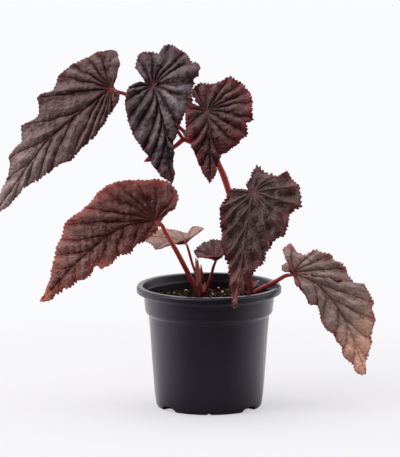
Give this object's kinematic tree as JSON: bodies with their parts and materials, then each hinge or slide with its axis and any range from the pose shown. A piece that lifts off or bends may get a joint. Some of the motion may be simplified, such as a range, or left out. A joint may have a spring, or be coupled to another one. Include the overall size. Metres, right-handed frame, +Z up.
{
  "type": "potted begonia",
  "caption": "Cane begonia with drooping, toothed, dark red leaves on red stalks, rooted in soil in a round tapered nursery pot with a flat rim.",
  "frame": {"origin": "centre of the pot's base, on the surface that the pot stands on", "axes": "+Z up; the plant's front faces -Y, and +X is to the right seen from the front"},
  "size_m": [0.3132, 0.1325, 0.2954],
  "materials": {
    "black_plastic": "satin",
    "soil": "matte",
    "grain": "matte",
    "stem": "satin",
    "leaf": "satin",
    "stipule": "matte"
  },
  "bodies": {
    "root": {"nursery_pot": "black_plastic", "potting_soil": "soil", "soil_grain_1": "grain", "soil_grain_2": "grain", "soil_grain_3": "grain", "soil_grain_4": "grain", "soil_grain_5": "grain", "soil_grain_6": "grain", "main_cane": "stem", "crown": "stem", "tip_bud": "stipule", "leaf_top_left": "leaf", "leaf_top_middle": "leaf", "leaf_top_right": "leaf", "leaf_right_front": "leaf", "leaf_low_left": "leaf", "leaf_low_right": "leaf", "leaf_young_left": "leaf", "leaf_young_middle": "leaf", "stalk_top_left": "stem", "stalk_top_middle": "stem", "stalk_top_right": "stem", "stalk_right_front": "stem", "stalk_low_left": "stem", "stalk_low_right": "stem", "stalk_young_left": "stem", "stalk_young_middle": "stem", "crown_stipule_front": "stipule", "crown_stipule_right": "stipule", "crown_stipule_back": "stipule", "crown_scale_low": "stipule", "cane_base_stipule": "stipule", "upper_stipule": "stipule", "upper_stipule_thin": "stipule"}
  },
  "joints": []
}
